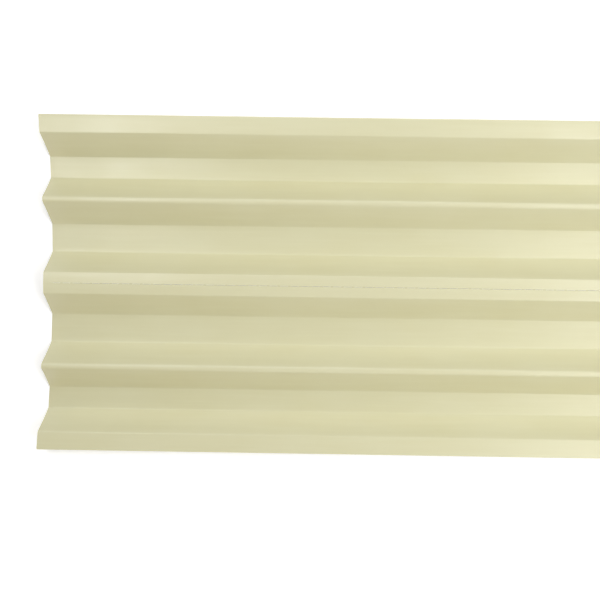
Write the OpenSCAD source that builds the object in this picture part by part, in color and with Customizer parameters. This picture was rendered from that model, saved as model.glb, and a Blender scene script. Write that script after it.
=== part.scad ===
// Rafter vent baffle: one thin formed sheet with lengthwise air channels.
// X runs along the rafters, Y across them, and the channels open upwards in Z.

/* [Sheet] */
// Length along the rafters
sheet_len = 1219.2; // [300:0.1:2440]
// Depth of the air channels, from the underside of the valleys to the top of the ridges
sheet_h = 38.1; // [20:0.1:60]
// Thickness of the formed sheet
wall = 0.8; // [0.5:0.05:2]
// Radius of every bend, at the middle of the sheet's thickness
bend_r = 2.6; // [1.2:0.1:3]

/* [Section] */
// Flat edge strip that is stapled to the roof deck or the rafter
flange_w = 31; // [15:0.5:60]
// Floor of each outer air channel
outer_floor_w = 37; // [15:0.5:80]
// Top of the narrow ridge between two channels
ridge_w = 7.5; // [6:0.5:40]
// Floor of each inner air channel
inner_floor_w = 48; // [15:0.5:90]
// Top of the wide middle ridge that the split line runs along
middle_ridge_w = 36.5; // [15:0.5:80]
// Rise of the split line above the two edges of the middle ridge
middle_crown = 0.8; // [0:0.1:3]
// Run across the sheet of each sloping wall
slope_run = 36; // [10:0.5:60]

/* [Split line] */
// Length of each slit, along the sheet
slit_len = 14; // [4:0.5:30]
// Width of each slit
slit_w = 0.5; // [0.3:0.1:3]
// Uncut tie that is left between two slits
tie_len = 4; // [2:0.5:20]
// Uncut length that is left before the first slit at each end
end_tie = 9; // [3:0.5:60]

/* [Smoothness] */
// Straight pieces in each bend
bend_steps = 6; // [2:1:12]

/* [Hidden] */
sheet_colour = [0.86, 0.84, 0.71];

// How far each cut reaches past the faces it goes through
cut_over = 1;

// Heights of the middle of the sheet's thickness, in the valleys and on the ridges
floor_z = wall / 2;
top_z = sheet_h - wall / 2;

// The section's flats and slopes from the split line out to one edge, each as its run
// across the sheet and the height that it ends at
half_section = [
  [middle_ridge_w / 2, top_z - middle_crown],
  [slope_run, floor_z],
  [inner_floor_w, floor_z],
  [slope_run, top_z],
  [ridge_w, top_z],
  [slope_run, floor_z],
  [outer_floor_w, floor_z],
  [slope_run, top_z],
  [flange_w, top_z]
];

// Distance from the split line to the end of each flat or slope
function reach(i) = i < 0 ? 0 : half_section[i][0] + reach(i - 1);

last = len(half_section) - 1;
half_path = [for (i = [0 : last]) [reach(i), half_section[i][1]]];

// Corners of the whole section from one edge to the other, with the split line in the middle
mirrored_path = [for (i = [last : -1 : 0]) [-half_path[i][0], half_path[i][1]]];
corners = concat(mirrored_path, [[0, top_z]], half_path);

function heading(a, b) = atan2(b[1] - a[1], b[0] - a[0]);
function left_of(angle) = [-sin(angle), cos(angle)];
function along(angle) = [cos(angle), sin(angle)];

// Points of one bend, on a line that lies `side` to the left of the middle line. A corner
// that doesn't turn has one point.
function bend(before, corner, after, side) =
  let (
    a0 = heading(before, corner),
    a1 = heading(corner, after),
    turn = sign(a1 - a0),
    setback = bend_r * tan(abs(a1 - a0) / 2),
    centre = corner - setback * along(a0) + turn * bend_r * left_of(a0)
  )
  turn == 0 ? [corner + side * left_of(a0)] :
  [for (k = [0 : bend_steps])
    centre - turn * (bend_r - turn * side) * left_of(a0 + (a1 - a0) * k / bend_steps)];

// One face of the sheet: its two edges, with a bend at each corner between them
function face_line(side) =
  let (n = len(corners) - 1)
  concat(
    [corners[0] + [0, side]],
    [for (i = [1 : n - 1]) each bend(corners[i - 1], corners[i], corners[i + 1], side)],
    [corners[n] + [0, side]]
  );

function reversed(points) = [for (i = [len(points) - 1 : -1 : 0]) points[i]];

// Section across the sheet, drawn with its height upwards
module section() {
  polygon(concat(face_line(-wall / 2), reversed(face_line(wall / 2))));
}

// Row of slits along the middle ridge, centred on the sheet's length
slit_pitch = slit_len + tie_len;
slit_count = floor((sheet_len - 2 * end_tie + tie_len) / slit_pitch);
first_slit = -((slit_count - 1) * slit_pitch) / 2;

module split_line() {
  for (k = [0 : slit_count - 1])
    translate([first_slit + k * slit_pitch - slit_len / 2, -slit_w / 2, sheet_h - wall - cut_over])
      cube([slit_len, slit_w, wall + 2 * cut_over]);
}

module formed_sheet() {
  color(sheet_colour)
    difference() {
      rotate([90, 0, 90])
        translate([0, 0, -sheet_len / 2])
          linear_extrude(height = sheet_len)
            section();
      split_line();
    }
}

formed_sheet();
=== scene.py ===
import math

import bmesh
import bpy
from mathutils import Matrix, Vector, noise


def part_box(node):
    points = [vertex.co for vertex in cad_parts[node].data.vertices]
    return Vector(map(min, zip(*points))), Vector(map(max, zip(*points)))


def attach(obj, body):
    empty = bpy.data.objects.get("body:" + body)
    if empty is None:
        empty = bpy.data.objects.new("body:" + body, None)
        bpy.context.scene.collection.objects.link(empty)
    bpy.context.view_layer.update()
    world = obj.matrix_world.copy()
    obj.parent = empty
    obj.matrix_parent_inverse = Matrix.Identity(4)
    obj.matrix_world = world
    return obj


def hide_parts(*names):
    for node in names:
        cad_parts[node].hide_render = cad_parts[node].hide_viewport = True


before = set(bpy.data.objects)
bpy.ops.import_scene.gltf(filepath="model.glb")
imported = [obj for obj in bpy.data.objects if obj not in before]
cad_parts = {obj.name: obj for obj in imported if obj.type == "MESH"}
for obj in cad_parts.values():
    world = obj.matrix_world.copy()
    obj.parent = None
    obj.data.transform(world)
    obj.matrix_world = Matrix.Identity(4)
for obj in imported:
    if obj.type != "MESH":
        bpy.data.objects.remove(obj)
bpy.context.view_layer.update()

# Formed sheet
# The whole baffle is one rigid vinyl sheet, heated and formed into flanges, sloping walls,
# channel floors and ridges, then perforated along the crest of its middle ridge so that it
# can be split in two. It lies loose, channel floors down.
sheet_low, sheet_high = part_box("formed_sheet")
sheet_length = sheet_high.x - sheet_low.x
half_width = sheet_high.y
wall = 0.0008
floor_z = sheet_low.z + wall / 2
top_z = sheet_high.z - wall / 2

bend_radius = 0.0026
crest_radius = 0.0055
bend_steps = 4
slope_run = 0.036
outer_floor = 0.037
inner_floor = 0.048
narrow_ridge = 0.0075
middle_ridge = 0.0365
middle_crown = 0.0008

slit_length = 0.014
slit_width = 0.0005
tie_length = 0.004
end_tie = 0.009

# The trimming knife turns the outer edge of each flange down a little
trimmed_edge = 0.0016
trimmed_drop = 0.0006

# Forming draws the two ends in, by one amount in the middle of the sheet's width and by
# another in the channels, and this fades out along the sheet
end_hollow = 0.010
channel_draw = 0.006
end_fade = 0.15

# The sloping walls bow down between their two bends
wall_bow = 0.0015

# The flats lie uneven by this much, and the bends sway to and fro by this much
unevenness = 0.0007
sway_reach = 0.0006
wave_length = 0.13
wave_width = 0.07
wave_slice = 3.1
sway_slice = 8.7

# Colours of the vinyl: its body, its yellower clouds and its paler streaks
sheet_cream = (0.658, 0.634, 0.413, 1)
sheet_yellow = (0.644, 0.616, 0.389, 1)
sheet_pale = (0.675, 0.653, 0.434, 1)
sheet_gloss = (0.285, 0.35)
vinyl_ior = 1.54
grain_depth = 0.000012
die_line_depth = 0.000015

# Stretch, scale and detail of each pattern in the vinyl
cloud_marks = ((1, 2.2, 1), 7, 3)
streak_marks = ((0.6, 14, 1), 12, 2)
patch_marks = ((1, 1.6, 1), 16, 4)
grain_marks = ((1, 1, 1), 520, 4)
die_line_marks = ((1.5, 300, 40), 1, 3)

# Farthest apart that two points lie across a flat or a wall
across_step = 0.009

# Two points this close are one, and two faces that meet more sharply than this show an edge
hair = 1e-6
sharp_angle = math.radians(30)

flat_middle = middle_ridge / 2 - slit_width / 2
flange = half_width - (middle_ridge / 2 + inner_floor + narrow_ridge + outer_floor + 4 * slope_run)

# From the split line out to one edge: the run of each flat or wall, the height it ends at and
# the radius of the bend there
half_section = [
    (slit_width / 2, top_z, 0),
    (flat_middle, top_z - middle_crown, bend_radius),
    (slope_run, floor_z, bend_radius),
    (inner_floor, floor_z, bend_radius),
    (slope_run, top_z, crest_radius),
    (narrow_ridge, top_z, crest_radius),
    (slope_run, floor_z, bend_radius),
    (outer_floor, floor_z, bend_radius),
    (slope_run, top_z, bend_radius),
    (flange - trimmed_edge, top_z, bend_radius),
    (trimmed_edge, top_z - trimmed_drop, 0),
]


def draw_half_section(bm, x):
    """The section's middle line as a chain of edges, with its bends rounded and its flats divided."""
    tip = bm.verts.new((x, 0, top_z))
    corners = {}
    for run, height, radius in half_section:
        tip = bmesh.ops.extrude_vert_indiv(bm, verts=[tip])["verts"][0]
        tip.co = Vector((x, tip.co.y + run, height))
        corners.setdefault(radius, []).append(tip)
    wall_angle = math.atan2(top_z - floor_z, slope_run)
    for radius in (bend_radius, crest_radius):
        bmesh.ops.bevel(
            bm,
            geom=corners[radius],
            offset=radius * math.tan(wall_angle / 2),
            offset_type="OFFSET",
            segments=bend_steps,
            profile=0.5,
            affect="VERTICES",
            material=-1,
        )
    for edge in list(bm.edges):
        cuts = int(edge.calc_length() / across_step)
        if cuts:
            bmesh.ops.subdivide_edges(bm, edges=[edge], cuts=cuts)
    return list(bm.edges)


def draw_out(bm, edges, length):
    """Carries a chain of edges along the sheet by one length, and gives its far end and its faces."""
    grown = bmesh.ops.extrude_edge_only(bm, edges=edges)["geom"]
    verts = [part for part in grown if isinstance(part, bmesh.types.BMVert)]
    faces = [part for part in grown if isinstance(part, bmesh.types.BMFace)]
    bmesh.ops.translate(bm, verts=verts, vec=(length, 0, 0))
    far = set(verts)
    return [e for e in bm.edges if e.verts[0] in far and e.verts[1] in far], faces


def settle(bm):
    """Hollows the ends, bows the walls and lets the flats lie uneven, all inside the sheet's box."""
    half_length = sheet_length / 2
    for vert in bm.verts:
        x, y, z = vert.co
        share = min(y / half_width, 1.0)
        middle = 1 - share * share
        near_end = max(0.0, 1 - (half_length - abs(x)) / end_fade)
        wave = noise.noise(Vector((x / wave_length, y / wave_width, wave_slice)))
        sway = noise.noise(Vector((x / wave_length, y / wave_width, sway_slice)))
        height = (z - floor_z) / (top_z - floor_z)
        drawn_in = end_hollow * middle + channel_draw * (1 - height)
        vert.co.x = x - math.copysign(drawn_in * near_end, x)
        vert.co.y = y + sway_reach * sway * middle * share
        bow = 4 * wall_bow * height * (1 - height)
        vert.co.z = z + (1 - 2 * height) * unevenness * (0.5 + 0.5 * wave) - bow


def formed_sheet():
    slit_count = int((sheet_length - 2 * end_tie + tie_length + hair) / (slit_length + tie_length))
    end_length = (sheet_length - slit_count * slit_length - (slit_count - 1) * tie_length) / 2
    lengths = [end_length] + [slit_length, tie_length] * (slit_count - 1) + [slit_length, end_length]

    bm = bmesh.new()
    edges = draw_half_section(bm, sheet_low.x)
    slit_faces = []
    for place, length in enumerate(lengths):
        edges, faces = draw_out(bm, edges, length)
        if place % 2:
            slit_faces += [f for f in faces if f.calc_center_median().y < slit_width / 2]
    bmesh.ops.delete(bm, geom=slit_faces, context="FACES")
    settle(bm)
    bmesh.ops.mirror(bm, geom=bm.verts[:] + bm.edges[:] + bm.faces[:], axis="Y", merge_dist=hair)
    bmesh.ops.recalc_face_normals(bm, faces=bm.faces)
    if sum(f.normal.z for f in bm.faces) > 0:
        bmesh.ops.reverse_faces(bm, faces=bm.faces)
    bmesh.ops.translate(bm, verts=bm.verts, vec=(0, 0, wall / 2))
    bmesh.ops.solidify(bm, geom=bm.faces[:], thickness=-wall)
    bmesh.ops.recalc_face_normals(bm, faces=bm.faces)
    for face in bm.faces:
        face.smooth = True
    for edge in bm.edges:
        edge.smooth = edge.is_manifold and edge.calc_face_angle() < sharp_angle

    mesh = bpy.data.meshes.new("formed_sheet_visual")
    bm.to_mesh(mesh)
    bm.free()
    piece = bpy.data.objects.new("formed_sheet_visual", mesh)
    bpy.context.collection.objects.link(piece)
    return piece


def sheet_vinyl():
    material = bpy.data.materials.new("sheet_vinyl")
    material.use_nodes = True
    nodes = material.node_tree.nodes
    links = material.node_tree.links
    shader = nodes["Principled BSDF"]
    shader.inputs["IOR"].default_value = vinyl_ior

    place = nodes.new("ShaderNodeTexCoord").outputs["Object"]

    def noise_over(stretch, scale, detail):
        """Noise whose marks are drawn out by a stretch along each of the sheet's three directions."""
        mapping = nodes.new("ShaderNodeMapping")
        mapping.inputs["Scale"].default_value = stretch
        texture = nodes.new("ShaderNodeTexNoise")
        texture.inputs["Scale"].default_value = scale
        texture.inputs["Detail"].default_value = detail
        links.new(place, mapping.inputs["Vector"])
        links.new(mapping.outputs["Vector"], texture.inputs["Vector"])
        return texture.outputs["Fac"]

    def spread(value, low, high, to_low, to_high):
        ramp = nodes.new("ShaderNodeMapRange")
        limits = {"From Min": low, "From Max": high, "To Min": to_low, "To Max": to_high}
        for name, number in limits.items():
            ramp.inputs[name].default_value = number
        links.new(value, ramp.inputs["Value"])
        return ramp.outputs["Result"]

    def tint(colour, other, mask):
        mix = nodes.new("ShaderNodeMix")
        mix.data_type = "RGBA"
        for socket, value in ((mix.inputs["A"], colour), (mix.inputs["B"], other)):
            if isinstance(value, tuple):
                socket.default_value = value
            else:
                links.new(value, socket)
        links.new(mask, mix.inputs["Factor"])
        return mix.outputs["Result"]

    # Cloudy pigment, drawn out along the sheet as the hot film left the die
    clouds = noise_over(*cloud_marks)
    streaks = noise_over(*streak_marks)
    colour = tint(sheet_cream, sheet_yellow, spread(clouds, 0.35, 0.65, 0, 1))
    colour = tint(colour, sheet_pale, spread(streaks, 0.45, 0.75, 0, 0.5))
    links.new(colour, shader.inputs["Base Color"])

    # The rolled film has a satin face, a little duller in cloudy patches
    grain = noise_over(*grain_marks)
    patches = noise_over(*patch_marks)
    links.new(spread(patches, 0.3, 0.7, sheet_gloss[0], sheet_gloss[1]), shader.inputs["Roughness"])

    # Fine grain over faint die lines that run along the sheet
    lines = noise_over(*die_line_marks)
    normal = None
    for height, depth in ((lines, die_line_depth), (grain, grain_depth)):
        bump = nodes.new("ShaderNodeBump")
        bump.inputs["Distance"].default_value = depth
        links.new(height, bump.inputs["Height"])
        if normal:
            links.new(normal, bump.inputs["Normal"])
        normal = bump.outputs["Normal"]
    links.new(normal, shader.inputs["Normal"])
    return material


sheet = formed_sheet()
sheet.data.materials.append(sheet_vinyl())
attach(sheet, "root")
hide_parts("formed_sheet")

# Floor
# A plain white studio floor, well past the view on every side. The camera sees it as white
# paper, and it keeps the sheet's shadow.
floor_reach = 6
floor_white = (0.85, 0.85, 0.85, 1)
floor_dullness = 0.9
paper_glow = 0.4
paper_shade = (0.95, 0.95, 0.95, 1)
paper_fade = (0.75, 1.4)


def white_to_the_eye(tree, lit, white, out):
    """Shows a white surface to the camera and in reflections, and a plain one to the light."""
    path = tree.nodes.new("ShaderNodeLightPath")
    seen = path.outputs["Is Camera Ray"]
    for ray in ("Is Glossy Ray", "Is Transmission Ray"):
        either = tree.nodes.new("ShaderNodeMath")
        either.operation = "MAXIMUM"
        tree.links.new(seen, either.inputs[0])
        tree.links.new(path.outputs[ray], either.inputs[1])
        seen = either.outputs["Value"]
    choice = tree.nodes.new("ShaderNodeMixShader")
    tree.links.new(seen, choice.inputs[0])
    tree.links.new(lit, choice.inputs[1])
    tree.links.new(white, choice.inputs[2])
    tree.links.new(choice.outputs["Shader"], out)


def studio_floor():
    bm = bmesh.new()
    bmesh.ops.create_grid(bm, x_segments=1, y_segments=1, size=floor_reach)
    mesh = bpy.data.meshes.new("studio_floor")
    bm.to_mesh(mesh)
    bm.free()
    floor = bpy.data.objects.new("studio_floor", mesh)
    bpy.context.collection.objects.link(floor)
    material = bpy.data.materials.new("studio_paper")
    material.use_nodes = True
    tree = material.node_tree
    lit = tree.nodes["Principled BSDF"]
    lit.inputs["Base Color"].default_value = floor_white
    lit.inputs["Roughness"].default_value = floor_dullness
    shade = tree.nodes.new("ShaderNodeBsdfDiffuse")
    shade.inputs["Color"].default_value = paper_shade
    glow = tree.nodes.new("ShaderNodeEmission")
    glow.inputs["Strength"].default_value = paper_glow
    near_paper = tree.nodes.new("ShaderNodeAddShader")
    tree.links.new(shade.outputs["BSDF"], near_paper.inputs[0])
    tree.links.new(glow.outputs["Emission"], near_paper.inputs[1])
    far_paper = tree.nodes.new("ShaderNodeEmission")

    # The paper turns plain white where the sheet's shadow has ended
    place = tree.nodes.new("ShaderNodeTexCoord").outputs["Object"]
    away = tree.nodes.new("ShaderNodeVectorMath")
    away.operation = "LENGTH"
    tree.links.new(place, away.inputs[0])
    fade = tree.nodes.new("ShaderNodeMapRange")
    fade.inputs["From Min"].default_value, fade.inputs["From Max"].default_value = paper_fade
    tree.links.new(away.outputs["Value"], fade.inputs["Value"])
    paper = tree.nodes.new("ShaderNodeMixShader")
    tree.links.new(fade.outputs["Result"], paper.inputs[0])
    tree.links.new(near_paper.outputs["Shader"], paper.inputs[1])
    tree.links.new(far_paper.outputs["Emission"], paper.inputs[2])
    out = tree.nodes["Material Output"].inputs["Surface"]
    white_to_the_eye(tree, lit.outputs["BSDF"], paper.outputs["Shader"], out)
    mesh.materials.append(material)
    return floor


studio_floor()

# Lights
# Soft boxes all round, all turned to the middle of the sheet: two high over the far end,
# three over the left side and the near end, and two low on the right. The one at the near
# right corner is a little warm.
lit_middle = Vector((-0.05, 0, 0))
white_light = (1, 1, 1)
warm_light = (1, 0.85, 0.65)
soft_boxes = {
    "far_box": ((1.5, -0.6, 1.8), (2.2, 1.3), 38, white_light),
    "crest_box": ((0.95, 0.44, 2.1), (0.7, 0.5), 6, white_light),
    "near_box": ((-0.74, 0.69, 2.09), (1, 1), 4, white_light),
    "sheen_box": ((-1, 0.45, 2.1), (0.45, 0.45), 6, white_light),
    "left_box": ((-0.05, 2.35, 1.85), (3, 2), 49, white_light),
    "low_box": ((0.4, -2.1, 0.75), (2.6, 1.2), 13, white_light),
    "warm_box": ((-1.6, -1.55, 0.71), (0.9, 0.9), 6, warm_light),
}
for name, (place, size, watts, colour) in soft_boxes.items():
    lamp = bpy.data.lights.new(name, "AREA")
    lamp.shape = "RECTANGLE"
    lamp.size, lamp.size_y = size
    lamp.energy = watts
    lamp.color = colour
    box = bpy.data.objects.new(name, lamp)
    bpy.context.collection.objects.link(box)
    box.location = place
    box.rotation_euler = (lit_middle - Vector(place)).to_track_quat("-Z", "Y").to_euler()

room_light = 0.01

world = bpy.data.worlds.new("room")
world.use_nodes = True
room = world.node_tree.nodes["Background"]
room.inputs["Color"].default_value = (1, 1, 1, 1)
room.inputs["Strength"].default_value = room_light
backdrop = world.node_tree.nodes.new("ShaderNodeBackground")
backdrop.inputs["Color"].default_value = (1, 1, 1, 1)
world_out = world.node_tree.nodes["World Output"].inputs["Surface"]
white_to_the_eye(world.node_tree, room.outputs["Background"], backdrop.outputs["Background"], world_out)
bpy.context.scene.world = world

# Camera
# It looks nearly straight down on the near end of the sheet, as the photograph does, so the
# far end runs out of the picture. It is turned by a little under one degree.
camera_place = Vector((-0.1486, 0.0214, 1.5655))
camera_aim = Vector((-0.1622, -0.0243, 0))
camera_roll = math.radians(0.843)
frame_pixels = 600
focal_pixels = 900

camera = bpy.data.cameras.new("camera")
camera.sensor_width = 36
camera.lens = camera.sensor_width * focal_pixels / frame_pixels
viewer = bpy.data.objects.new("camera", camera)
bpy.context.collection.objects.link(viewer)
back = (camera_place - camera_aim).normalized()
right = Vector((math.cos(camera_roll), math.sin(camera_roll), 0)).cross(back).cross(-back).normalized()
turn = Matrix((right, back.cross(right), back)).transposed()
viewer.matrix_world = Matrix.Translation(camera_place) @ turn.to_4x4()
bpy.context.scene.camera = viewer

bpy.context.scene.view_settings.view_transform = "Standard"
